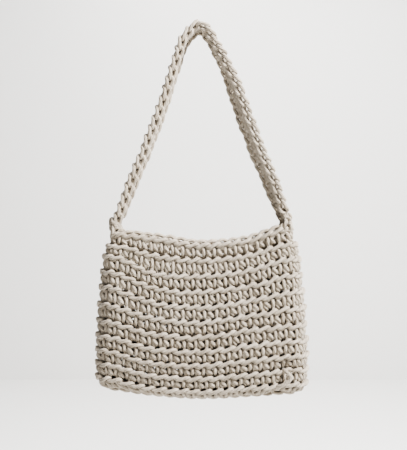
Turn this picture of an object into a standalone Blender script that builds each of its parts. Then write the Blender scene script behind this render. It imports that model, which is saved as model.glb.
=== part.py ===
"""A crocheted shoulder bag of thick cotton cord, hanging from the top of its strap.

The frame is in metres with +Z up. The origin is the underside of the strap's highest
point, where the bag hangs. The bag's front faces -Y and its back rests against +Y.
"""

from math import acos, cos, hypot, pi, radians, sin

import bmesh
import bpy
import numpy as np

# Driving sizes
CLEARANCE = 0.0003
SWEPT_CLEARANCE = 0.00045
HANG_TO_MOUTH = 0.246
POUCH_HEIGHT = 0.178
POUCH_OFFSET = 0.003
MOUTH_WIDTH = 0.218
BELLY_WIDTH = 0.252
BELLY_DEPTH = 0.050
FRONT_BULGE = 0.006
BACK_BULGE = 0.002
MOUTH_CORNER = 0.013
WALL = 0.010
BASE_RADIUS = 0.018
SEAM_WIDTH = 0.006
STRAP_WIDTH = 0.040
STRAP_THICKNESS = 0.012
STRAP_TWIST = radians(17.0)
STRAP_INSET = 0.0005
STRAP_CHAMFER = 0.0042
EDGING_HEIGHT = 0.012
EDGING_DEPTH = 0.010
EDGING_BEND = 0.010
RIB_DEPTH = 0.003
DENT_DEPTH = 0.005
DENT_RADIUS = 0.014

# Rounds of stitches up the pouch: the first groove, and how much the rounds grow upward
ROUNDS = 11
FIRST_GROOVE_SHARE = 0.088
LAST_GROOVE_SHARE = 0.942
ROUND_GROWTH_SHARE = 0.17
BAR_BELOW_SHARE = 0.024

# Mesh fineness
POUCH_COLUMNS = 64
BASE_ANGLES = (0.0, 25.0, 48.0)
INNER_HEIGHTS = (1.0, 0.8, 0.6, 0.4, 0.2, 0.101)
SLOPE_STEP_SHARE = 0.02
BEND_POINTS = 5
MOUTH_POINTS = 25
STRAP_STEP = 0.008
EDGING_STEP = 0.007
EDGING_SIDES = 8
CURVE_STEPS = 12
LEAST_STEPS = 8

CORD_COLOUR = (0.62, 0.55, 0.47, 1.0)
CORD_ROUGHNESS = 0.9

# How far across the pouch, as a share of its half width, the columns of ROUND_LIFT stand
LIFT_STATIONS = (-0.92, -0.5, 0.0, 0.5, 0.92)

# Rise of a round above its own middle, as shares of POUCH_HEIGHT
# height share, far left, half left, half right, far right
ROUND_LIFT = (
    (0.00, 0.061, 0.024, 0.017, 0.034),
    (0.09, 0.088, 0.027, 0.024, 0.044),
    (0.28, 0.088, 0.017, 0.034, 0.057),
    (0.46, 0.098, 0.027, 0.050, 0.074),
    (0.64, 0.128, 0.037, 0.047, 0.101),
    (0.84, 0.128, 0.024, 0.044, 0.115),
    (1.00, 0.068, 0.041, 0.030, 0.101),
)

# Shape of the pouch up its height. Width goes from MOUTH_WIDTH (0) to BELLY_WIDTH (1),
# depth from STRAP_WIDTH (0) to BELLY_DEPTH (1), bulge is a share of the bulges and
# corner goes from MOUTH_CORNER (0) to a half round side (1)
# height share, width, depth, bulge, corner
POUCH_SECTIONS = (
    (0.00, 1.00, -0.20, 0.2, 1.0),
    (0.10, 1.00, 0.00, 0.5, 1.0),
    (0.30, 1.00, 0.80, 1.0, 1.0),
    (0.55, 0.82, 1.00, 0.9, 1.0),
    (0.70, 0.64, 0.85, 0.6, 0.9),
    (0.83, 0.44, 0.50, 0.3, 0.5),
    (0.92, 0.22, 0.20, 0.1, 0.2),
    (1.00, 0.00, 0.00, 0.0, 0.0),
)

# The strap's middle line from its top to the pouch on each side, as shares of the drop
# and of the distance out to that side, and its twist as a share of STRAP_TWIST
# drop, out to the left, out to the right, twist on the left, twist on the right
STRAP_ROUTE = (
    (0.055, 0.165, 0.135, 0.0, 0.0),
    (0.103, 0.220, 0.190, 0.0, 0.1),
    (0.151, 0.262, 0.255, 0.0, 0.25),
    (0.247, 0.337, 0.358, 0.0, 0.6),
    (0.342, 0.415, 0.437, 0.0, 0.9),
    (0.438, 0.500, 0.515, 0.1, 1.0),
    (0.533, 0.590, 0.596, 0.1, 1.0),
    (0.629, 0.686, 0.683, 0.1, 1.0),
    (0.725, 0.792, 0.785, 0.1, 0.9),
    (0.820, 0.884, 0.868, 0.0, 0.7),
    (0.892, 0.950, 0.934, 0.0, 0.35),
    (0.940, 0.985, 0.977, 0.0, 0.0),
    (0.975, 1.000, 1.000, 0.0, 0.0),
)

# Where the dent in the front's lower right corner lies: share of the half width, height
DENT_PLACE = (0.78, 0.16)

RIM_MIDDLE = -HANG_TO_MOUTH - EDGING_HEIGHT - SWEPT_CLEARANCE
STRAP_REACH = MOUTH_WIDTH / 2 - STRAP_THICKNESS / 2 - STRAP_INSET
BASE_SHARE = BASE_RADIUS / POUCH_HEIGHT


def clear_scene():
    for item in list(bpy.data.objects):
        bpy.data.objects.remove(item, do_unlink=True)


def cord_material(name):
    material = bpy.data.materials.new(name)
    material.use_nodes = True
    shader = material.node_tree.nodes["Principled BSDF"]
    shader.inputs["Base Color"].default_value = CORD_COLOUR
    shader.inputs["Roughness"].default_value = CORD_ROUGHNESS
    shader.inputs["Metallic"].default_value = 0.0
    return material


def add_object(name, vertices, faces):
    """Make one closed mesh object from points and faces."""
    mesh = bpy.data.meshes.new(name)
    mesh.from_pydata([tuple(point) for point in vertices], [], faces)
    builder = bmesh.new()
    builder.from_mesh(mesh)
    bmesh.ops.recalc_face_normals(builder, faces=builder.faces)
    bmesh.ops.triangulate(builder, faces=builder.faces)
    builder.to_mesh(mesh)
    builder.free()
    mesh.shade_smooth()
    mesh.set_sharp_from_angle(angle=radians(35.0))
    mesh.materials.append(cord_material(name + "_cord"))
    item = bpy.data.objects.new(name, mesh)
    bpy.context.scene.collection.objects.link(item)
    return item


def section_values(height):
    """Half width, half depth, bulge share and corner radius at a height share."""
    heights = [row[0] for row in POUCH_SECTIONS]
    width, depth, bulge, corner = (
        np.interp(height, heights, [row[column] for row in POUCH_SECTIONS])
        for column in range(1, 5)
    )
    half_width = (MOUTH_WIDTH + (BELLY_WIDTH - MOUTH_WIDTH) * width) / 2
    half_depth = (STRAP_WIDTH + (BELLY_DEPTH - STRAP_WIDTH) * depth) / 2
    radius = MOUTH_CORNER + (half_depth - MOUTH_CORNER) * corner
    return half_width, half_depth, bulge, radius


def round_lift(height, across):
    """Rise of a round above its middle at a share across the pouch, from -1 to 1."""
    heights = [row[0] for row in ROUND_LIFT]
    columns = [[row[index] for row in ROUND_LIFT] for index in (1, 2, 3, 4)]
    far_left, half_left, half_right, far_right = (
        np.interp(height, heights, column) for column in columns
    )
    knots = np.array(LIFT_STATIONS)
    values = np.array([far_left, half_left, 0.0, half_right, far_right])
    slopes = np.gradient(values, knots)
    slopes[0] = 0.0
    slopes[-1] = 0.0
    place = min(max(across, knots[0]), knots[-1])
    left = min(int(np.searchsorted(knots, place, side="right")) - 1, len(knots) - 2)
    span = knots[left + 1] - knots[left]
    t = (place - knots[left]) / span
    lift = (
        (2 * t**3 - 3 * t**2 + 1) * values[left]
        + (t**3 - 2 * t**2 + t) * span * slopes[left]
        + (3 * t**2 - 2 * t**3) * values[left + 1]
        + (t**3 - t**2) * span * slopes[left + 1]
    )
    return POUCH_HEIGHT * lift


def loop_point(turn, half_width, half_depth, radius):
    """Place and outward direction on a rounded rectangle, from the front's middle."""
    straight = half_width - radius
    side = 2 * (half_depth - radius)
    corner = radius * pi / 2
    half = 2 * straight + 2 * corner + side
    way = (turn % 1.0) * 2 * half
    mirrored = way > half
    if mirrored:
        way = 2 * half - way
    if way < straight:
        place = (way, -half_depth, 0.0, -1.0)
    elif way < straight + corner:
        angle = (way - straight) / radius
        place = (
            straight + radius * sin(angle),
            -(half_depth - radius) - radius * cos(angle),
            sin(angle),
            -cos(angle),
        )
    elif way < straight + corner + side:
        place = (half_width, way - straight - corner - side / 2, 1.0, 0.0)
    elif way < straight + 2 * corner + side:
        angle = (way - straight - corner - side) / radius
        place = (
            straight + radius * cos(angle),
            half_depth - radius + radius * sin(angle),
            cos(angle),
            sin(angle),
        )
    else:
        place = (half - way, half_depth, 0.0, 1.0)
    x, y, out_x, out_y = place
    if mirrored:
        x = -x
        out_x = -out_x
    return x, y, out_x, out_y


def pouch_point(turn, height, proud):
    """A point of the pouch: share of the way round, height share, distance outward."""
    half_width, half_depth, bulge, radius = section_values(max(height, BASE_SHARE))
    slant = pi / 2
    if height < BASE_SHARE:
        slant = acos(1.0 - height / BASE_SHARE)
        shrunk = SEAM_WIDTH / 2 + (half_depth - SEAM_WIDTH / 2) * sin(slant)
        half_width = half_width - half_depth + shrunk
        half_depth = shrunk
        radius = shrunk
        bulge = bulge * sin(slant)
    x, y, out_x, out_y = loop_point(turn, half_width, half_depth, radius)
    across = x / half_width
    swell = FRONT_BULGE if out_y < 0 else BACK_BULGE
    y = y + out_y * swell * bulge * (1.0 - across**2)
    z = RIM_MIDDLE - POUCH_HEIGHT * (1.0 - height) + round_lift(height, across)
    reach = proud * sin(slant)
    return np.array(
        [
            POUCH_OFFSET + x + out_x * reach,
            y + out_y * reach,
            z - proud * cos(slant),
        ]
    )


def dent(turn, height):
    """Depth of the dent in the front's lower right corner."""
    half_width, half_depth, bulge, radius = section_values(height)
    x, y, out_x, out_y = loop_point(turn, half_width, half_depth, radius)
    if out_y > 0:
        return 0.0
    sideways = (x / half_width - DENT_PLACE[0]) * half_width
    upward = (height - DENT_PLACE[1]) * POUCH_HEIGHT
    return DENT_DEPTH * float(np.exp(-(sideways**2 + upward**2) / DENT_RADIUS**2))


def groove_height(number):
    """Height share of the groove above a round, counted from the bottom."""
    step = (number - 1) / (ROUNDS - 2)
    eased = step * (1.0 - ROUND_GROWTH_SHARE / 2 * (1.0 - step))
    return FIRST_GROOVE_SHARE + (LAST_GROOVE_SHARE - FIRST_GROOVE_SHARE) * eased


def base_height(angle):
    """Height share of a ring at an angle round the bottom's curve."""
    return BASE_SHARE * (1.0 - cos(radians(angle)))


def seam_faces(start, columns, upward):
    """Close the flat strip along the seam of the ring that starts at a vertex number."""
    front = [index % columns for index in range(3 * columns // 4, 5 * columns // 4)]
    faces = []
    for near, far in zip(front, front[1:]):
        back_near = (columns // 2 - 1 - near) % columns
        back_far = (columns // 2 - 1 - far) % columns
        face = (start + near, start + far, start + back_far, start + back_near)
        unique = tuple(dict.fromkeys(face))
        faces.append(unique if upward else unique[::-1])
    return faces


def make_pouch():
    """The pouch: a wall in rounds with a groove between rounds, closed at the bottom."""
    columns = POUCH_COLUMNS
    rings = [(base_height(angle), 0.0) for angle in BASE_ANGLES]
    for number in range(1, ROUNDS):
        groove = groove_height(number)
        rings.append((groove - BAR_BELOW_SHARE, RIB_DEPTH / 2))
        rings.append((groove, -RIB_DEPTH / 2))
    rings.append((1.0, 0.0))
    rings += [(height, -WALL) for height in INNER_HEIGHTS]
    rings += [(base_height(angle), -WALL) for angle in BASE_ANGLES[::-1]]
    vertices = []
    for height, proud in rings:
        for column in range(columns):
            turn = (column + 0.5) / columns
            vertices.append(pouch_point(turn, height, proud - dent(turn, height)))
    faces = []
    for ring in range(len(rings) - 1):
        low = ring * columns
        high = low + columns
        for column in range(columns):
            after = (column + 1) % columns
            faces.append((low + column, low + after, high + after, high + column))
    faces += seam_faces(0, columns, upward=False)
    faces += seam_faces((len(rings) - 1) * columns, columns, upward=True)
    return add_object("pouch", vertices, faces)


def rim_height(across):
    """Height of the pouch's rim at a share across it."""
    return RIM_MIDDLE + round_lift(1.0, across)


def strap_side_points(side):
    """The strap's middle line and twist from its top down to the pouch on one side."""
    top = STRAP_THICKNESS / 2
    out = POUCH_OFFSET + side * STRAP_REACH
    base = rim_height(side) + CLEARANCE
    column, twist_column = (1, 3) if side < 0 else (2, 4)
    rows = []
    for row in STRAP_ROUTE + ((1.0, 1.0, 1.0, 0.0, 0.0),):
        z = top + (base - top) * row[0]
        rows.append((out * row[column], z, side * STRAP_TWIST * row[twist_column]))
    return rows


def smooth_line(points, step, closed=False):
    """Points a step apart along a smooth curve through the given points."""
    rows = np.array(points, dtype=float)
    if closed:
        ends = np.vstack([rows[-1], rows, rows[0], rows[1]])
    else:
        ends = np.vstack([2 * rows[0] - rows[1], rows, 2 * rows[-1] - rows[-2]])
    fine = []
    for index in range(1, len(ends) - 2):
        before, here, after, last = ends[index - 1 : index + 3]
        for t in np.linspace(0.0, 1.0, CURVE_STEPS, endpoint=False):
            fine.append(
                0.5
                * (
                    2 * here
                    + (after - before) * t
                    + (2 * before - 5 * here + 4 * after - last) * t**2
                    + (3 * here - before - 3 * after + last) * t**3
                )
            )
    fine.append(ends[-2])
    fine = np.array(fine)
    lengths = np.linalg.norm(np.diff(fine[:, :3], axis=0), axis=1)
    way = np.concatenate([[0.0], np.cumsum(lengths)])
    count = max(int(round(way[-1] / step)), LEAST_STEPS) + 1
    places = np.linspace(0.0, way[-1], count)
    line = np.array([np.interp(places, way, column) for column in fine.T]).T
    return line[:-1] if closed else line


def strap_line(step):
    """Middle line of the strap from the left end to the right end, with its twist."""
    left = [(x, 0.0, z, twist) for x, z, twist in strap_side_points(-1)]
    right = [(x, 0.0, z, twist) for x, z, twist in strap_side_points(1)]
    top = [(0.0, 0.0, STRAP_THICKNESS / 2, 0.0)]
    return smooth_line(left[::-1] + top + right, step)


def across_direction(twist):
    """Direction from the back edge to the front edge of the strap."""
    return np.array([sin(twist), -cos(twist), 0.0])


def sweep(name, centres, acrosses, section, closed):
    """A solid of one section carried along a line, capped where the line is open."""
    count = len(centres)
    vertices = []
    for index in range(count):
        if closed:
            tangent = centres[(index + 1) % count] - centres[index - 1]
        else:
            tangent = centres[min(index + 1, count - 1)] - centres[max(index - 1, 0)]
            if index in (0, count - 1):
                tangent = np.array([0.0, 0.0, tangent[2]])
        tangent = tangent / np.linalg.norm(tangent)
        inward = np.cross(tangent, acrosses[index])
        inward = inward / np.linalg.norm(inward)
        across = np.cross(inward, tangent)
        for along_inward, along_across in section:
            offset = inward * along_inward + across * along_across
            vertices.append(centres[index] + offset)
    sides = len(section)
    faces = []
    for index in range(count if closed else count - 1):
        low = index * sides
        high = (index + 1) % count * sides
        for side in range(sides):
            after = (side + 1) % sides
            faces.append((low + side, low + after, high + after, high + side))
    if not closed:
        faces.append(tuple(range(sides))[::-1])
        last = (count - 1) * sides
        faces.append(tuple(last + side for side in range(sides)))
    return add_object(name, vertices, faces)


def make_strap():
    """The band between the two edgings, standing on the pouch's rim at both sides."""
    line = strap_line(STRAP_STEP)
    half_band = STRAP_WIDTH / 2 - EDGING_DEPTH - SWEPT_CLEARANCE
    half_thickness = STRAP_THICKNESS / 2
    chamfer = STRAP_CHAMFER
    section = [
        (half_thickness, half_band - chamfer),
        (half_thickness, -half_band + chamfer),
        (half_thickness - chamfer, -half_band),
        (-half_thickness + chamfer, -half_band),
        (-half_thickness, -half_band + chamfer),
        (-half_thickness, half_band - chamfer),
        (-half_thickness + chamfer, half_band),
        (half_thickness - chamfer, half_band),
    ]
    acrosses = [across_direction(twist) for twist in line[:, 3]]
    return sweep("strap", line[:, :3], acrosses, section, closed=False)


def edging_line(side):
    """Closed line of the edging: along the mouth, up the strap's edge and back down."""
    reach = STRAP_WIDTH / 2 - EDGING_DEPTH / 2
    strap = strap_line(EDGING_STEP)
    bend_top = EDGING_HEIGHT / 2 + EDGING_BEND
    points = []
    for x, y, z, twist in strap:
        out = -1 if x < 0 else 1
        if z > rim_height(out) + SWEPT_CLEARANCE + bend_top:
            place = np.array([x, y, z]) + side * reach * across_direction(twist)
            points.append((*place, twist))

    def mouth_height(x):
        across = (x - POUCH_OFFSET) / (MOUTH_WIDTH / 2)
        rise = rim_height(across + SLOPE_STEP_SHARE) - rim_height(across - SLOPE_STEP_SHARE)
        slope = rise / (SLOPE_STEP_SHARE * MOUTH_WIDTH)
        return rim_height(across) + (SWEPT_CLEARANCE + EDGING_HEIGHT / 2) * hypot(1.0, slope)

    def bend_points(out):
        centre_x = POUCH_OFFSET + out * (STRAP_REACH - EDGING_BEND)
        centre_z = mouth_height(POUCH_OFFSET + out * STRAP_REACH) + EDGING_BEND
        rows = []
        for angle in np.linspace(0.0, pi / 2, BEND_POINTS):
            x = centre_x + out * EDGING_BEND * cos(angle)
            z = centre_z - EDGING_BEND * sin(angle)
            rows.append((x, -side * reach, z, 0.0))
        return rows

    inner = STRAP_REACH - EDGING_BEND
    mouth = []
    for share in np.linspace(1.0, -1.0, MOUTH_POINTS)[1:-1]:
        x = POUCH_OFFSET + share * inner
        mouth.append((x, -side * reach, mouth_height(x), 0.0))
    loop = points + bend_points(1) + mouth + bend_points(-1)[::-1]
    return smooth_line(loop, EDGING_STEP, closed=True)


def make_edging(name, side):
    """One edging: a raised chain round the mouth's edge and the strap's edge."""
    line = edging_line(side)
    section = []
    for index in range(EDGING_SIDES):
        angle = 2 * pi * index / EDGING_SIDES
        section.append((EDGING_HEIGHT / 2 * cos(angle), EDGING_DEPTH / 2 * sin(angle)))
    acrosses = [across_direction(twist) for twist in line[:, 3]]
    return sweep(name, line[:, :3], acrosses, section, closed=True)


clear_scene()
make_pouch()
make_strap()
make_edging("front_edging", 1)
make_edging("back_edging", -1)
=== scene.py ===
"""Looks of the crocheted shoulder bag: every stitch as one path of thick cotton cord.

A stitch is charted once as a path of the cord, in millimetres. Rounds of that stitch go
round the pouch, and rows of it go along the mouth and over the strap. Chains lie along
the strap's middle and the pouch's bottom. The shape of the pouch and the strap repeats
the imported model's, in metres.
"""

from math import acos, asin, cos, hypot, pi, radians, sin

import bpy
import numpy as np
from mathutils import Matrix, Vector


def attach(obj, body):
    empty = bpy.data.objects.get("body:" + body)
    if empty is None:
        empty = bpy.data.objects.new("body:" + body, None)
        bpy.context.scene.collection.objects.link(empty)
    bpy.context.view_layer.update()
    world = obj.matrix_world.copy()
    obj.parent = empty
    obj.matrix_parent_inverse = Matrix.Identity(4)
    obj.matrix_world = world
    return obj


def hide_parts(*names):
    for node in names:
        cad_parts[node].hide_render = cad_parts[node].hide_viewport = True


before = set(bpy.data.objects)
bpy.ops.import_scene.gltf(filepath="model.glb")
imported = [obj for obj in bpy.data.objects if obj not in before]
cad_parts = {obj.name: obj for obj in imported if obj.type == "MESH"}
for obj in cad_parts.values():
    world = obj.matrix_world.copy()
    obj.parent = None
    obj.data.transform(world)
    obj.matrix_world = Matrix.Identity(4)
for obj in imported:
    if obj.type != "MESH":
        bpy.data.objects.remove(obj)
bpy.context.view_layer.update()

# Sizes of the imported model
CLEARANCE = 0.0003
SWEPT_CLEARANCE = 0.00045
HANG_TO_MOUTH = 0.246
POUCH_HEIGHT = 0.178
POUCH_OFFSET = 0.003
MOUTH_WIDTH = 0.218
BELLY_WIDTH = 0.252
BELLY_DEPTH = 0.050
FRONT_BULGE = 0.006
BACK_BULGE = 0.002
MOUTH_CORNER = 0.013
WALL = 0.010
BASE_RADIUS = 0.018
SEAM_WIDTH = 0.006
STRAP_WIDTH = 0.040
STRAP_THICKNESS = 0.012
STRAP_TWIST = radians(17.0)
STRAP_INSET = 0.0005
EDGING_HEIGHT = 0.012
EDGING_DEPTH = 0.010
EDGING_BEND = 0.010
DENT_DEPTH = 0.005
DENT_RADIUS = 0.014
ROUNDS = 11
FIRST_GROOVE_SHARE = 0.088
LAST_GROOVE_SHARE = 0.942
ROUND_GROWTH_SHARE = 0.17
SLOPE_STEP_SHARE = 0.02
RIM_MIDDLE = -HANG_TO_MOUTH - EDGING_HEIGHT - SWEPT_CLEARANCE
STRAP_REACH = MOUTH_WIDTH / 2 - STRAP_THICKNESS / 2 - STRAP_INSET
BASE_SHARE = BASE_RADIUS / POUCH_HEIGHT

# How far across the pouch, as a share of its half width, the columns of ROUND_LIFT stand
LIFT_STATIONS = (-0.92, -0.5, 0.0, 0.5, 0.92)

# Rise of a round above its own middle, as shares of POUCH_HEIGHT
# height share, far left, half left, half right, far right
ROUND_LIFT = (
    (0.00, 0.061, 0.024, 0.017, 0.034),
    (0.09, 0.088, 0.027, 0.024, 0.044),
    (0.28, 0.088, 0.017, 0.034, 0.057),
    (0.46, 0.098, 0.027, 0.050, 0.074),
    (0.64, 0.128, 0.037, 0.047, 0.101),
    (0.84, 0.128, 0.024, 0.044, 0.115),
    (1.00, 0.068, 0.041, 0.030, 0.101),
)

# height share, width, depth, bulge, corner
POUCH_SECTIONS = (
    (0.00, 1.00, -0.20, 0.2, 1.0),
    (0.10, 1.00, 0.00, 0.5, 1.0),
    (0.30, 1.00, 0.80, 1.0, 1.0),
    (0.55, 0.82, 1.00, 0.9, 1.0),
    (0.70, 0.64, 0.85, 0.6, 0.9),
    (0.83, 0.44, 0.50, 0.3, 0.5),
    (0.92, 0.22, 0.20, 0.1, 0.2),
    (1.00, 0.00, 0.00, 0.0, 0.0),
)

# drop, out to the left, out to the right, twist on the left, twist on the right
STRAP_ROUTE = (
    (0.055, 0.165, 0.135, 0.0, 0.0),
    (0.103, 0.220, 0.190, 0.0, 0.1),
    (0.151, 0.262, 0.255, 0.0, 0.25),
    (0.247, 0.337, 0.358, 0.0, 0.6),
    (0.342, 0.415, 0.437, 0.0, 0.9),
    (0.438, 0.500, 0.515, 0.1, 1.0),
    (0.533, 0.590, 0.596, 0.1, 1.0),
    (0.629, 0.686, 0.683, 0.1, 1.0),
    (0.725, 0.792, 0.785, 0.1, 0.9),
    (0.820, 0.884, 0.868, 0.0, 0.7),
    (0.892, 0.950, 0.934, 0.0, 0.35),
    (0.940, 0.985, 0.977, 0.0, 0.0),
    (0.975, 1.000, 1.000, 0.0, 0.0),
)
DENT_PLACE = (0.78, 0.16)

# The cord and the stitch, in millimetres. A stitch is charted from the groove above the
# bar of the round below (up = 0) to the groove above its own bar (up = ROW).
PITCH = 12.9
ROW = 16.8
CORD_RADIUS = 2.05
RELAX_RADIUS = 1.95
MID_WALL = 5.0

# One stitch worked to the left: along to the right, up, out of the wall's middle
STITCH = (
    (9.0, 12.0, -3.8),
    (6.0, 12.4, -3.4),
    (3.9, 12.0, -2.0),
    (3.4, 9.6, -1.0),
    (4.6, 7.0, -0.8),
    (6.8, 4.2, -0.4),
    (8.6, 1.6, 0.0),
    (8.8, 0.0, -2.0),
    (6.2, 0.2, -3.8),
    (3.6, 0.8, -3.6),
    (2.4, 1.4, -1.6),
    (2.4, 2.2, 1.0),
    (2.6, 4.4, 2.7),
    (2.9, 7.4, 3.1),
    (3.0, 10.0, 2.2),
    (1.6, 12.6, 0.7),
    (-2.6, 13.2, 0.2),
    (-6.6, 12.2, 0.8),
    (-7.6, 9.8, 2.2),
    (-6.3, 6.8, 3.0),
    (-3.6, 3.8, 2.6),
    (-2.2, 2.0, 0.8),
    (-2.0, 1.2, -1.6),
    (-3.2, 1.8, -4.0),
    (-5.2, 4.6, -4.6),
    (-6.2, 8.0, -3.9),
    (-5.4, 11.0, -1.6),
    (-4.2, 14.0, 1.2),
    (-5.8, 15.6, 4.4),
    (-9.8, 14.4, 4.9),
    (-14.0, 13.0, 4.0),
    (-18.0, 11.9, 2.2),
    (-20.9, 13.6, 0.8),
    (-21.2, 17.0, -0.8),
    (-18.6, 20.6, -1.4),
    (-14.6, 22.8, -1.5),
    (-10.4, 22.4, -1.8),
    (-7.0, 19.2, -2.8),
    (-5.0, 15.0, -4.0),
)

# The same stitch where no round is worked into it: its top closes to a flat chain
TOP_STRAND = {33: (-20.8, 16.2, 0.2), 34: (-18.6, 19.0, -0.4), 35: (-14.4, 20.6, -0.8),
              36: (-10.2, 20.2, -1.4), 37: (-6.8, 17.6, -2.6)}

# One chain stitch worked to the left, in the same directions
CHAIN = (
    (0.0, 1.2, 0.0),
    (-2.6, 1.9, 2.2),
    (-6.4, 2.4, 2.6),
    (-11.0, 2.4, 1.6),
    (-15.0, 2.2, -0.4),
    (-17.2, 0.0, -1.2),
    (-15.0, -2.2, -0.4),
    (-11.0, -2.4, 1.6),
    (-6.4, -2.4, 2.6),
    (-2.6, -1.9, 2.2),
    (0.0, -1.2, 0.0),
    (-1.4, -0.4, -2.6),
    (-5.4, 0.0, -3.6),
    (-10.0, 0.2, -3.0),
)

# The pulled strand: right of the pouch's middle in mm, height share, out of the wall in mm
PULLED_LOOP = (
    (95.0, 0.168, -7.0),
    (97.5, 0.160, -1.0),
    (100.0, 0.150, 3.4),
    (102.4, 0.140, 5.0),
    (102.6, 0.124, 5.4),
    (99.5, 0.104, 5.0),
    (94.5, 0.088, 4.2),
    (90.0, 0.076, 2.0),
    (86.5, 0.068, -5.0),
)
PULLED_RADIUS = 2.4

ROUND_STITCHES = 42
POUCH_ROUNDS = 10
MOUTH_STITCHES = 15
CORNER_STITCHES = 3
STRAP_STITCHES = 42
STEP = 2.2
SIDES = 10

# Rounds are set off along by one, two or none of these shares of a stitch, in turn
ROUND_OFFSET = 0.12

# Where the first round starts on the curve of the pouch's bottom
LOWEST_ANGLE = radians(16.0)

# How the stitch is relaxed: turns, then shares of push, smoothing and pull home, and how
# many radii along the cord aren't pushed apart, because they are its own next stretch
RELAX_TURNS = 120
RELAX_PUSH = 0.45
RELAX_SMOOTH = 0.25
RELAX_HOME = 0.06
RELAX_NEAR = 3.8

# The unevenness of the stitches: number of waves and most shift along, up and out in mm
LOOSE_WAVES = 14
LOOSE_SIZE = (0.30, 0.22, 0.20)

# Rows of the mouth and the strap: half the middle chain in metres, the chart's height of
# the edge in millimetres, points a stitch, smoothing turns, stitches added at each end,
# and how many stitches ahead and behind a row's direction is taken
CHAIN_HALF = 0.0025
EDGE_UP = 16.3
STRAP_EDGE_UP = 16.6
ROW_POINTS = 12
ROW_SMOOTHING = 12
ROW_EXTRA = 2
ROW_REACH = 0.3

# The strap's chain, in metres: step of its middle line, and how far ahead and behind its
# direction is taken
CHAIN_STEP = 0.002
CHAIN_REACH = 0.003

# Chains along the bottom, in metres: out from the middle, above the bottom's lowest line,
# and past the straight part at each end
BASE_CHAIN_OUT = 0.0042
BASE_CHAIN_RISE = 0.0055
BASE_CHAIN_PAST = 0.004

# Turns of the cord's twist a metre, and the soft strands that show round it
CORD_TWISTS = 38.0
CORD_STRANDS = 6.0

# Scales of the cord's fibres along and round it, of its fuzz and of its uneven colour
FIBRES_ALONG = 110.0
FIBRES_ROUND = 2.6
FUZZ_SCALE = 900.0
PATCH_SCALE = 26.0

# How far the back's rounds hang above the front's, in millimetres, at a height share.
# It ends at a share across the pouch, and is full from BACK_FADE inside that
BACK_RISE = ((0.0, 0.0), (0.1, -2.0), (0.25, -3.6), (0.6, -0.7), (0.95, 2.8), (1.0, 2.8))
BACK_END = 0.95
BACK_FADE = 0.3

cord_paths = {}


def section_values(height):
    """Half width, half depth, bulge share and corner radius at a height share."""
    heights = [row[0] for row in POUCH_SECTIONS]
    width, depth, bulge, corner = (
        np.interp(height, heights, [row[column] for row in POUCH_SECTIONS])
        for column in range(1, 5)
    )
    half_width = (MOUTH_WIDTH + (BELLY_WIDTH - MOUTH_WIDTH) * width) / 2
    half_depth = (STRAP_WIDTH + (BELLY_DEPTH - STRAP_WIDTH) * depth) / 2
    radius = MOUTH_CORNER + (half_depth - MOUTH_CORNER) * corner
    return half_width, half_depth, bulge, radius


def round_lift(height, across):
    """Rise of a round above its middle at a share across the pouch, from -1 to 1."""
    heights = [row[0] for row in ROUND_LIFT]
    columns = [[row[index] for row in ROUND_LIFT] for index in (1, 2, 3, 4)]
    far_left, half_left, half_right, far_right = (
        np.interp(height, heights, column) for column in columns
    )
    knots = np.array(LIFT_STATIONS)
    values = np.array([far_left, half_left, 0.0, half_right, far_right])
    slopes = np.gradient(values, knots)
    slopes[0] = 0.0
    slopes[-1] = 0.0
    place = min(max(across, knots[0]), knots[-1])
    left = min(int(np.searchsorted(knots, place, side="right")) - 1, len(knots) - 2)
    span = knots[left + 1] - knots[left]
    t = (place - knots[left]) / span
    lift = (
        (2 * t**3 - 3 * t**2 + 1) * values[left]
        + (t**3 - 2 * t**2 + t) * span * slopes[left]
        + (3 * t**2 - 2 * t**3) * values[left + 1]
        + (t**3 - t**2) * span * slopes[left + 1]
    )
    return POUCH_HEIGHT * lift


def loop_point(turn, half_width, half_depth, radius):
    """Place and outward direction on a rounded rectangle, from the front's middle."""
    straight = half_width - radius
    side = 2 * (half_depth - radius)
    corner = radius * pi / 2
    half = 2 * straight + 2 * corner + side
    way = (turn % 1.0) * 2 * half
    mirrored = way > half
    if mirrored:
        way = 2 * half - way
    if way < straight:
        place = (way, -half_depth, 0.0, -1.0)
    elif way < straight + corner:
        angle = (way - straight) / radius
        place = (
            straight + radius * sin(angle),
            -(half_depth - radius) - radius * cos(angle),
            sin(angle),
            -cos(angle),
        )
    elif way < straight + corner + side:
        place = (half_width, way - straight - corner - side / 2, 1.0, 0.0)
    elif way < straight + 2 * corner + side:
        angle = (way - straight - corner - side) / radius
        place = (
            straight + radius * cos(angle),
            half_depth - radius + radius * sin(angle),
            cos(angle),
            sin(angle),
        )
    else:
        place = (half - way, half_depth, 0.0, 1.0)
    x, y, out_x, out_y = place
    if mirrored:
        x = -x
        out_x = -out_x
    return x, y, out_x, out_y


def back_rise(across, height):
    """Rise of the back's rounds above the front's at a share across the pouch."""
    inward = min(max((BACK_END - abs(across)) / BACK_FADE, 0.0), 1.0)
    eased = inward**2 * (3.0 - 2.0 * inward)
    heights, rises = zip(*BACK_RISE)
    return eased * np.interp(height, heights, rises) / 1000


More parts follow.
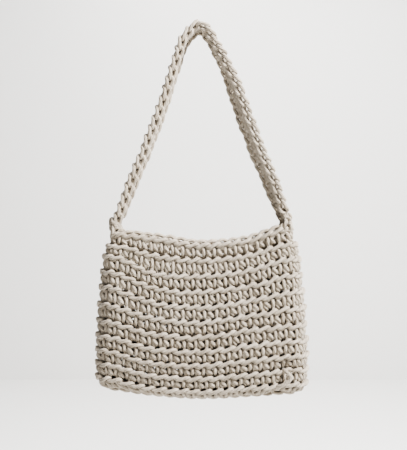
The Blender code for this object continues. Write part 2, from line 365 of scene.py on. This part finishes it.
def pouch_point(turn, height, proud):
    """A point of the pouch: share of the way round, height share, distance outward."""
    half_width, half_depth, bulge, radius = section_values(max(height, BASE_SHARE))
    slant = pi / 2
    if height < BASE_SHARE:
        slant = acos(1.0 - height / BASE_SHARE)
        shrunk = SEAM_WIDTH / 2 + (half_depth - SEAM_WIDTH / 2) * sin(slant)
        half_width = half_width - half_depth + shrunk
        half_depth = shrunk
        radius = shrunk
        bulge = bulge * sin(slant)
    x, y, out_x, out_y = loop_point(turn, half_width, half_depth, radius)
    across = x / half_width
    swell = FRONT_BULGE if out_y < 0 else BACK_BULGE
    y = y + out_y * swell * bulge * (1.0 - across**2)
    z = RIM_MIDDLE - POUCH_HEIGHT * (1.0 - height) + round_lift(height, across)
    if out_y > 0:
        z += back_rise(across, height)
    reach = proud * sin(slant)
    return np.array(
        [
            POUCH_OFFSET + x + out_x * reach,
            y + out_y * reach,
            z - proud * cos(slant),
        ]
    )


def dent(turn, height):
    """Depth of the dent in the front's lower right corner."""
    half_width, half_depth, bulge, radius = section_values(height)
    x, y, out_x, out_y = loop_point(turn, half_width, half_depth, radius)
    if out_y > 0:
        return 0.0
    sideways = (x / half_width - DENT_PLACE[0]) * half_width
    upward = (height - DENT_PLACE[1]) * POUCH_HEIGHT
    return DENT_DEPTH * float(np.exp(-(sideways**2 + upward**2) / DENT_RADIUS**2))


def groove_height(number):
    """Height share of the groove above a round, counted from the bottom."""
    step = (number - 1) / (ROUNDS - 2)
    eased = step * (1.0 - ROUND_GROWTH_SHARE / 2 * (1.0 - step))
    return FIRST_GROOVE_SHARE + (LAST_GROOVE_SHARE - FIRST_GROOVE_SHARE) * eased


def base_height(angle):
    """Height share of a ring at an angle round the bottom's curve."""
    return BASE_SHARE * (1.0 - cos(angle))


def rim_height(across):
    """Height of the pouch's rim at a share across it."""
    return RIM_MIDDLE + round_lift(1.0, across)


def strap_side_points(side):
    """The strap's middle line and twist from its top down to the pouch on one side."""
    top = STRAP_THICKNESS / 2
    out = POUCH_OFFSET + side * STRAP_REACH
    base = rim_height(side) + CLEARANCE
    column, twist_column = (1, 3) if side < 0 else (2, 4)
    rows = []
    for row in STRAP_ROUTE + ((1.0, 1.0, 1.0, 0.0, 0.0),):
        z = top + (base - top) * row[0]
        rows.append((out * row[column], z, side * STRAP_TWIST * row[twist_column]))
    return rows


def catmull(rows, steps):
    """Points along a smooth curve from the second row to the last but one."""
    rows = np.array(rows, dtype=float)
    fine = []
    for index in range(1, len(rows) - 2):
        before, here, after, last = rows[index - 1 : index + 3]
        for t in np.linspace(0.0, 1.0, steps, endpoint=False):
            fine.append(
                0.5
                * (
                    2 * here
                    + (after - before) * t
                    + (2 * before - 5 * here + 4 * after - last) * t**2
                    + (3 * here - before - 3 * after + last) * t**3
                )
            )
    fine.append(rows[-2])
    return np.array(fine)


def even_points(line, step):
    """The points of a line, spread evenly about a step apart, ends included."""
    lengths = np.linalg.norm(np.diff(line[:, :3], axis=0), axis=1)
    way = np.concatenate([[0.0], np.cumsum(lengths)])
    count = max(int(round(way[-1] / step)), 2) + 1
    places = np.linspace(0.0, way[-1], count)
    return np.array([np.interp(places, way, column) for column in line.T]).T


def strap_line(step):
    """Middle line of the strap from the left end to the right end, with its twist."""
    left = [(x, 0.0, z, twist) for x, z, twist in strap_side_points(-1)]
    right = [(x, 0.0, z, twist) for x, z, twist in strap_side_points(1)]
    rows = np.array(left[::-1] + [(0.0, 0.0, STRAP_THICKNESS / 2, 0.0)] + right)
    ends = np.vstack([2 * rows[0] - rows[1], rows, 2 * rows[-1] - rows[-2]])
    return even_points(catmull(ends, 12), step)


def across_direction(twist):
    """Direction from the back edge to the front edge of the strap."""
    return np.array([sin(twist), -cos(twist), 0.0])


def relaxed_stitch(points, rows_apart):
    """Evenly spaced points of one stitch, pushed clear of its neighbours in the fabric."""
    shift = np.array([-PITCH, 0.0, 0.0])
    base = np.array(points)
    around = np.vstack([base[-1] - shift, base, base[0] + shift, base[1] + shift])
    line = even_points(catmull(around, 10), STEP)[:-1]
    count = len(line)
    home = line.copy()
    index = np.arange(count)
    lattice = [(k, r) for k in (-2, -1, 0, 1, 2) for r in ((-1, 0, 1) if rows_apart else (0,))]
    owners = np.concatenate([index + count * k + 100000 * r for k, r in lattice])
    near = np.abs(owners[None, :] - index[:, None]) < RELAX_NEAR * RELAX_RADIUS / STEP
    for turn in range(RELAX_TURNS):
        cloud = np.vstack([line + shift * k + np.array([0.0, ROW * r, 0.0]) for k, r in lattice])
        delta = line[:, None, :] - cloud[None, :, :]
        apart = np.linalg.norm(delta, axis=2)
        push = np.clip(2 * RELAX_RADIUS - apart, 0.0, None)
        push[near] = 0.0
        move = (delta / np.maximum(apart, 1e-6)[:, :, None] * push[:, :, None]).sum(axis=1)
        touching = np.maximum((push > 0).sum(axis=1), 1)[:, None]
        line = line + RELAX_PUSH * move / np.sqrt(touching)
        before = np.vstack([line[-1] - shift, line[:-1]])
        after = np.vstack([line[1:], line[0] + shift])
        line = line + RELAX_SMOOTH * ((before + after) / 2 - line)
        line = line + RELAX_HOME * (home - line)
    return line


def loose_field(seed):
    """A smooth uneven field over the fabric: small shifts along, up and out, in mm."""
    draw = np.random.RandomState(seed)
    waves = []
    for wave in range(LOOSE_WAVES):
        waves.append(
            (
                draw.randint(2, 24),
                draw.uniform(-2.4, 2.4),
                draw.uniform(0.0, 2 * pi),
                draw.uniform(-1.0, 1.0, 3) * np.array(LOOSE_SIZE),
            )
        )

    def shift(turn, level):
        total = np.zeros(3)
        for times, lean, start, size in waves:
            total += size * sin(2 * pi * times * turn + lean * level + start)
        return total

    return shift


def tube_mesh(name, line, radius, closed=True):
    """A cord through the points, closed or with flat ends, with UVs along and round it."""
    count = len(line)
    ahead = np.roll(line, -1, axis=0) - np.roll(line, 1, axis=0)
    if not closed:
        ahead[0] = line[1] - line[0]
        ahead[-1] = line[-1] - line[-2]
    ahead /= np.linalg.norm(ahead, axis=1)[:, None]
    side = np.zeros((count, 3))
    start = np.cross(ahead[0], [0.3, 0.2, 0.93])
    side[0] = start / np.linalg.norm(start)
    for index in range(1, count):
        turned = side[index - 1] - ahead[index] * np.dot(side[index - 1], ahead[index])
        side[index] = turned / np.linalg.norm(turned)
    last = side[-1] - ahead[0] * np.dot(side[-1], ahead[0])
    last /= np.linalg.norm(last)
    slip = np.arctan2(np.dot(np.cross(last, side[0]), ahead[0]), np.dot(last, side[0]))
    slip = slip if closed else 0.0
    other = np.cross(ahead, side)
    twist = slip * np.arange(count) / count
    angles = np.arange(SIDES) * 2 * pi / SIDES
    turn = angles[None, :] + twist[:, None]
    ring = line[:, None, :] + radius * (
        np.cos(turn)[:, :, None] * side[:, None, :] + np.sin(turn)[:, :, None] * other[:, None, :]
    )
    low = np.arange(count)[:, None] * SIDES
    high = np.roll(np.arange(count), -1)[:, None] * SIDES
    near = np.arange(SIDES)[None, :]
    far = (near + 1) % SIDES
    spans = count if closed else count - 1
    faces = np.stack([low + near, low + far, high + far, high + near], axis=2)[:spans]
    faces = faces.reshape(-1, 4).tolist()
    lengths = np.linalg.norm(np.roll(line, -1, axis=0) - line, axis=1)[:spans]
    way = np.concatenate([[0.0], np.cumsum(lengths)])
    cord_paths[name] = way[-1]
    low_u = np.repeat(way[:-1], SIDES)
    high_u = np.repeat(way[1:], SIDES)
    near_v = np.tile(np.arange(SIDES) / SIDES, spans)
    far_v = near_v + 1.0 / SIDES
    uvs = np.stack([low_u, near_v, low_u, far_v, high_u, far_v, high_u, near_v], axis=1)
    uvs = uvs.reshape(-1).tolist()
    if not closed:
        faces.append(list(range(SIDES))[::-1])
        faces.append([(count - 1) * SIDES + corner for corner in range(SIDES)])
        uvs += [0.0] * (4 * SIDES)
    mesh = bpy.data.meshes.new(name)
    mesh.from_pydata(ring.reshape(-1, 3).tolist(), [], faces)
    layer = mesh.uv_layers.new(name="cord")
    layer.data.foreach_set("uv", np.array(uvs, dtype=np.float32))
    mesh.shade_smooth()
    item = bpy.data.objects.new(name, mesh)
    bpy.context.scene.collection.objects.link(item)
    return item


def finish_piece(item, *nodes):
    """Ride on the bag's one body, take the cord's slot and stand for its nodes."""
    item.data.materials.append(cord_material)
    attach(item, "root")
    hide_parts(*nodes)


def pouch_height_at(number, up):
    """Height share at a distance up in a round, in millimetres of the chart."""
    level = number - 1 + up / ROW
    if level >= 1.0:
        return groove_height(level)
    first = acos(1.0 - FIRST_GROOVE_SHARE / BASE_SHARE)
    return base_height(LOWEST_ANGLE + (first - LOWEST_ANGLE) * max(level, -0.2))


def pouch_round(number, stitch, field):
    """One closed round of stitches on the pouch."""
    rows = []
    offset = ROUND_OFFSET * (number % 3) / ROUND_STITCHES
    for copy in range(ROUND_STITCHES):
        for along, up, out in stitch:
            turn = (along / PITCH - copy) / ROUND_STITCHES + offset
            level = number + up / ROW
            shift = field(turn, level)
            place = turn + shift[0] / PITCH / ROUND_STITCHES
            height = pouch_height_at(number, up + shift[1])
            proud = (out + shift[2] - MID_WALL) / 1000
            proud -= dent(place, max(height, BASE_SHARE))
            rows.append(pouch_point(place, height, proud))
    return np.array(rows)


def mouth_height(x):
    """Height of the edging's middle line above the rim."""
    across = (x - POUCH_OFFSET) / (MOUTH_WIDTH / 2)
    rise = rim_height(across + SLOPE_STEP_SHARE) - rim_height(across - SLOPE_STEP_SHARE)
    slope = rise / (SLOPE_STEP_SHARE * MOUTH_WIDTH)
    return rim_height(across) + (SWEPT_CLEARANCE + EDGING_HEIGHT / 2) * hypot(1.0, slope)


def half_way_round(half_width, half_depth, radius):
    """Half the way round a rounded rectangle."""
    return 2 * (half_width - radius) + radius * pi + 2 * (half_depth - radius)


def front_turn(x):
    """Share round the pouch at a place on the front, at the top groove."""
    half_width, half_depth, bulge, radius = section_values(groove_height(ROUNDS - 1))
    return (x - POUCH_OFFSET) / (2 * half_way_round(half_width, half_depth, radius))


def corner_rows(out):
    """Base and edge points of one front corner, from the mouth to the strap."""
    inner = STRAP_REACH - EDGING_BEND
    reach = STRAP_WIDTH / 2 - EDGING_DEPTH / 2
    groove = groove_height(ROUNDS - 1)
    bend_z = mouth_height(POUCH_OFFSET + out * STRAP_REACH) + EDGING_BEND
    start = front_turn(POUCH_OFFSET + out * inner)
    base = []
    for share in np.linspace(0.0, 1.0, 16):
        turn = start + (out * 0.25 - start) * share
        base.append(pouch_point(turn, groove, -WALL / 2))
    base = np.array([point for point in base if point[1] < -CHAIN_HALF])
    foot = base[-1]
    strap_x = POUCH_OFFSET + out * STRAP_REACH
    climb = [
        (foot[0] + (strap_x - foot[0]) * t, foot[1] + (-CHAIN_HALF - foot[1]) * t, z)
        for t, z in zip(np.linspace(0.2, 1.0, 5), np.linspace(foot[2], bend_z, 6)[1:])
    ]
    base = even_points(np.vstack([base, climb]), 0.002)
    centre_x = POUCH_OFFSET + out * inner
    shares = np.linspace(0.0, 1.0, len(base))
    edge = []
    for share in shares:
        angle = pi / 2 * (1.0 - share)
        edge.append(
            (
                centre_x + out * EDGING_BEND * cos(angle),
                -reach,
                bend_z - EDGING_BEND * sin(angle),
            )
        )
    return shares, base, np.array(edge)


def mouth_rows():
    """Base and edge points all along the front of the mouth, from left to right."""
    inner = STRAP_REACH - EDGING_BEND
    reach = STRAP_WIDTH / 2 - EDGING_DEPTH / 2
    groove = groove_height(ROUNDS - 1)
    rows = []
    shares, base, edge = corner_rows(-1)
    for share, low, high in zip(shares[:-1], base[::-1], edge[::-1]):
        rows.append((share * CORNER_STITCHES, *low, *high))
    for share in np.linspace(0.0, 1.0, 60, endpoint=False):
        x = POUCH_OFFSET + (2 * share - 1) * inner
        base = pouch_point(front_turn(x), groove, -WALL / 2)
        rows.append((CORNER_STITCHES + share * MOUTH_STITCHES, *base, x, -reach, mouth_height(x)))
    shares, base, edge = corner_rows(1)
    for share, low, high in zip(shares, base, edge):
        count = CORNER_STITCHES + MOUTH_STITCHES + share * CORNER_STITCHES
        rows.append((count, *low, *high))
    return np.array(rows)


def strap_rows(side):
    """Base and edge points of one half of the strap, over the top from left to right."""
    reach = STRAP_WIDTH / 2 - EDGING_DEPTH / 2
    line = strap_line(0.004)
    low = {
        out: mouth_height(POUCH_OFFSET + out * STRAP_REACH) + EDGING_BEND * 0.6 for out in (-1, 1)
    }
    kept = [point for point in line if point[2] > low[-1 if point[0] < 0 else 1]]
    rows = []
    for index, (x, y, z, twist) in enumerate(kept):
        across = side * across_direction(twist)
        middle = np.array([x, y, z])
        count = index / (len(kept) - 1) * STRAP_STITCHES
        rows.append((count, *(middle + across * CHAIN_HALF), *(middle + across * reach)))
    return np.array(rows)


def even_rows(rows):
    """Rows at even stitch counts with the kinks smoothed out, two stitches longer each end."""
    per = ROW_POINTS
    total = rows[-1, 0]
    counts = np.arange(int(total * per) + 1) / per
    table = np.array([np.interp(counts, rows[:, 0], column) for column in rows[:, 1:].T]).T
    for turn in range(ROW_SMOOTHING):
        table[1:-1] = 0.5 * table[1:-1] + 0.25 * (table[2:] + table[:-2])
    extra = np.arange(1, ROW_EXTRA * per + 1)[:, None]
    before = table[0] - (table[per // 2] - table[0]) / (per // 2) * extra[::-1]
    after = table[-1] + (table[-1] - table[-1 - per // 2]) / (per // 2) * extra
    return np.vstack([before, table, after]), per


def turned_rows(rows):
    """The same rows counted from the other end."""
    turned = rows[::-1].copy()
    turned[:, 0] = rows[-1, 0] - turned[:, 0]
    return turned


def turned_back(rows):
    """The front's rows mirrored to the back, where they run from right to left."""
    turned = turned_rows(rows) * np.array([1.0, 1.0, -1.0, 1.0, 1.0, -1.0, 1.0])
    for row in turned:
        row[3] += back_rise((row[1] - POUCH_OFFSET) / (MOUTH_WIDTH / 2), LAST_GROOVE_SHARE)
    return turned


def stitch_row(name, rows, stitch, edge_up, field):
    """A row of stitches between the base and the edge points of its rows."""
    table, per = even_rows(rows)
    stitches = int(round(rows[-1, 0]))

    def row_at(count):
        place = (count + ROW_EXTRA) * per
        low = min(max(int(place), 0), len(table) - 2)
        part = place - low
        return table[low] * (1 - part) + table[low + 1] * part

    points = []
    for copy in range(stitches):
        for along, up, out in stitch:
            count = stitches - 0.5 - copy + along / PITCH
            shift = field(count / stitches, up / ROW)
            count += shift[0] / PITCH
            here = row_at(count)
            ahead = row_at(count + ROW_REACH)
            behind = row_at(count - ROW_REACH)
            share = (up + shift[1]) / edge_up
            rise = here[3:] - here[:3]
            run = (ahead[:3] - behind[:3]) * (1 - share) + (ahead[3:] - behind[3:]) * share
            outward = np.cross(run, rise)
            outward /= np.linalg.norm(outward)
            points.append(here[:3] + rise * share + outward * (out + shift[2]) / 1000)
    return tube_mesh(name, np.array(points), CORD_RADIUS / 1000, closed=False)


def strap_chain():
    """The chain that the strap was started on, along its middle."""
    line = strap_line(CHAIN_STEP)
    way = np.arange(len(line)) * CHAIN_STEP
    stitches = int(way[-1] * 1000 / PITCH)

    def line_at(place):
        return np.array([np.interp(place, way, column) for column in line.T])

    points = []
    for copy in range(stitches):
        for along, up, out in CHAIN:
            place = min(max(way[-1] - (copy * PITCH - along) / 1000, way[0]), way[-1])
            here = line_at(place)
            ahead = line_at(place + CHAIN_REACH)
            behind = line_at(place - CHAIN_REACH)
            across = across_direction(here[3])
            outward = np.cross(ahead[:3] - behind[:3], across)
            outward /= np.linalg.norm(outward)
            points.append(here[:3] + across * up / 1000 + outward * out / 1000)
    return tube_mesh("strap_chain", np.array(points), CORD_RADIUS / 1000, closed=False)


def base_chain(name, side):
    """A chain along the bottom, which the first round was worked into."""
    half_width, half_depth, bulge, radius = section_values(BASE_SHARE)
    reach = half_width - half_depth + BASE_CHAIN_PAST
    points = []
    for copy in range(int(2 * reach * 1000 / PITCH)):
        for along, up, out in CHAIN:
            x = max(reach + (along - copy * PITCH) / 1000, -reach)
            floor = RIM_MIDDLE - POUCH_HEIGHT + round_lift(0.0, x / half_width)
            y = side * BASE_CHAIN_OUT + up / 1000
            z = floor + BASE_CHAIN_RISE - out / 1000
            points.append(np.array([POUCH_OFFSET + x, y, z]))
    return tube_mesh(name, np.array(points), CORD_RADIUS / 1000, closed=False)


def pulled_loop():
    """The strand that curls out of the pucker in the lower right corner."""
    rows = []
    for x, height, out in PULLED_LOOP:
        half_width, half_depth, bulge, radius = section_values(max(height, BASE_SHARE))
        straight = half_width - radius
        way = x / 1000
        if way > straight:
            way = straight + radius * asin((way - straight) / radius)
        half = half_way_round(half_width, half_depth, radius)
        rows.append(pouch_point(way / (2 * half), height, out / 1000))
    ends = np.vstack([2 * rows[0] - rows[1], rows, 2 * rows[-1] - rows[-2]])
    line = even_points(catmull(ends, 10), STEP / 1000)
    return tube_mesh("pulled_loop", line, PULLED_RADIUS / 1000, closed=False)


def make_cord_material():
    """Undyed cotton cord: twisted strands, short fibres and a soft uneven colour, with painted
    shade darkening the grooves between the strands.
    """
    material = bpy.data.materials.new("cotton_cord")
    material.use_nodes = True
    nodes = material.node_tree.nodes
    links = material.node_tree.links
    shader = nodes["Principled BSDF"]
    shader.inputs["Roughness"].default_value = 0.85
    shader.inputs["Specular IOR Level"].default_value = 0.25
    shader.inputs["Sheen Weight"].default_value = 0.25
    shader.inputs["Sheen Roughness"].default_value = 0.5

    def join(socket, value):
        if isinstance(value, (int, float)):
            socket.default_value = value
        else:
            links.new(value, socket)

    def math(operation, first, second=0.0):
        node = nodes.new("ShaderNodeMath")
        node.operation = operation
        join(node.inputs[0], first)
        join(node.inputs[1], second)
        return node.outputs[0]

    def noise(vector, scale, detail):
        node = nodes.new("ShaderNodeTexNoise")
        links.new(vector, node.inputs["Vector"])
        node.inputs["Scale"].default_value = scale
        node.inputs["Detail"].default_value = detail
        return node.outputs["Fac"]

    def ramp(value, stops):
        node = nodes.new("ShaderNodeValToRGB")
        links.new(value, node.inputs["Fac"])
        for element, (place, shade) in zip(node.color_ramp.elements, stops):
            element.position = place
            element.color = (*shade, 1.0)
        return node.outputs["Color"]

    def multiply(first, second, share):
        node = nodes.new("ShaderNodeMix")
        node.data_type = "RGBA"
        node.blend_type = "MULTIPLY"
        node.inputs["Factor"].default_value = share
        links.new(first, node.inputs[6])
        links.new(second, node.inputs[7])
        return node.outputs[2]

    cord = nodes.new("ShaderNodeUVMap")
    cord.uv_map = "cord"
    split = nodes.new("ShaderNodeSeparateXYZ")
    links.new(cord.outputs["UV"], split.inputs["Vector"])
    along = split.outputs["X"]
    twisted = math("ADD", split.outputs["Y"], math("MULTIPLY", along, CORD_TWISTS))
    angle = math("MULTIPLY", twisted, 2 * pi)
    wrapped = nodes.new("ShaderNodeCombineXYZ")
    links.new(math("MULTIPLY", along, FIBRES_ALONG), wrapped.inputs["X"])
    links.new(math("MULTIPLY", math("COSINE", angle), FIBRES_ROUND), wrapped.inputs["Y"])
    links.new(math("MULTIPLY", math("SINE", angle), FIBRES_ROUND), wrapped.inputs["Z"])
    fibres = noise(wrapped.outputs["Vector"], 1.0, 3.0)
    strands = math("COSINE", math("MULTIPLY", angle, CORD_STRANDS))
    place = nodes.new("ShaderNodeTexCoord")
    fuzz = noise(place.outputs["Object"], FUZZ_SCALE, 2.0)
    patches = noise(place.outputs["Object"], PATCH_SCALE, 2.0)
    streaked = ramp(fibres, ((0.32, (0.29, 0.245, 0.195)), (0.66, (0.56, 0.505, 0.43))))
    # Painted shade: the base colour is darkened in the grooves between the twisted strands, where
    # shade falls
    groove_shade_mask = math("MULTIPLY_ADD", strands, 0.5)
    painted_groove_shade = ramp(groove_shade_mask, ((0.0, (0.72, 0.68, 0.63)), (0.7, (1.0, 1.0, 1.0))))
    uneven = ramp(patches, ((0.3, (0.90, 0.89, 0.87)), (0.7, (1.0, 1.0, 1.0))))
    coloured = multiply(multiply(streaked, painted_groove_shade, 0.55), uneven, 1.0)
    links.new(coloured, shader.inputs["Base Color"])
    relief = math("ADD", math("MULTIPLY", fibres, 1.1), math("MULTIPLY", strands, 0.35))
    relief = math("ADD", relief, math("MULTIPLY", fuzz, 0.25))
    bump = nodes.new("ShaderNodeBump")
    bump.inputs["Strength"].default_value = 0.7
    bump.inputs["Distance"].default_value = 0.0005
    links.new(relief, bump.inputs["Height"])
    links.new(bump.outputs["Normal"], shader.inputs["Normal"])
    return material


def make_stage():
    """A pale floor and wall, soft light from the upper right and the camera."""
    scene = bpy.context.scene
    world = bpy.data.worlds.new("studio")
    world.use_nodes = True
    world.node_tree.nodes["Background"].inputs["Color"].default_value = (1.0, 1.0, 1.0, 1.0)
    world.node_tree.nodes["Background"].inputs["Strength"].default_value = 0.22
    scene.world = world
    scene.view_settings.look = "AgX - High Contrast"
    pale = bpy.data.materials.new("pale_stage")
    pale.use_nodes = True
    paint = pale.node_tree.nodes["Principled BSDF"]
    paint.inputs["Base Color"].default_value = (0.8, 0.79, 0.77, 1)
    paint.inputs["Roughness"].default_value = 0.9

    def panel(name, corners):
        mesh = bpy.data.meshes.new(name)
        mesh.from_pydata(corners, [], [(0, 1, 2, 3)])
        mesh.materials.append(pale)
        item = bpy.data.objects.new(name, mesh)
        scene.collection.objects.link(item)
        return item

    floor = panel("floor", [(-6, -6, -0.75), (6, -6, -0.75), (6, 6, -0.75), (-6, 6, -0.75)])
    backdrop = panel("backdrop", [(-6, 1.6, -0.75), (6, 1.6, -0.75), (6, 1.6, 4.0), (-6, 1.6, 4.0)])
    for name, place, size, power in (
        ("key", (1.10, -0.85, 0.95), 0.40, 92.0),
        ("fill", (-0.5, -1.5, 0.1), 1.0, 2.5),
        ("back", (0.2, 0.9, 1.2), 1.2, 34.0),
    ):
        light = bpy.data.lights.new(name, "AREA")
        light.size = size
        light.energy = power
        lamp = bpy.data.objects.new(name, light)
        lamp.location = place
        aim = Vector((0.0, 0.0, -0.23)) - Vector(place)
        lamp.rotation_euler = aim.to_track_quat("-Z", "Y").to_euler()
        scene.collection.objects.link(lamp)
    camera = bpy.data.cameras.new("camera")
    camera.lens = 58.6
    view = bpy.data.objects.new("camera", camera)
    view.location = (0.005, -0.87, -0.230)
    view.rotation_euler = (pi / 2, 0.0, 0.0)
    scene.collection.objects.link(view)
    scene.camera = view


cord_material = make_cord_material()
make_stage()
wall_stitch = relaxed_stitch(STITCH, True)
edge_points = [TOP_STRAND.get(index, point) for index, point in enumerate(STITCH)]
edge_stitch = relaxed_stitch(edge_points, False)
for number in range(1, POUCH_ROUNDS + 1):
    path = pouch_round(number, wall_stitch, loose_field(number))
    finish_piece(tube_mesh("round_%02d" % number, path, CORD_RADIUS / 1000), "pouch")
front = mouth_rows()
for name, rows, edge_up, seed, nodes in (
    ("front_mouth_row", front, EDGE_UP, 21, ("front_edging",)),
    ("back_mouth_row", turned_back(front), EDGE_UP, 22, ("back_edging",)),
    ("front_strap_row", strap_rows(1), STRAP_EDGE_UP, 23, ("front_edging", "strap")),
    ("back_strap_row", turned_rows(strap_rows(-1)), STRAP_EDGE_UP, 24, ("back_edging", "strap")),
):
    finish_piece(stitch_row(name, rows, edge_stitch, edge_up, loose_field(seed)), *nodes)
finish_piece(strap_chain(), "strap")
finish_piece(base_chain("front_base_chain", -1), "pouch")
finish_piece(base_chain("back_base_chain", 1), "pouch")
finish_piece(pulled_loop(), "pouch")
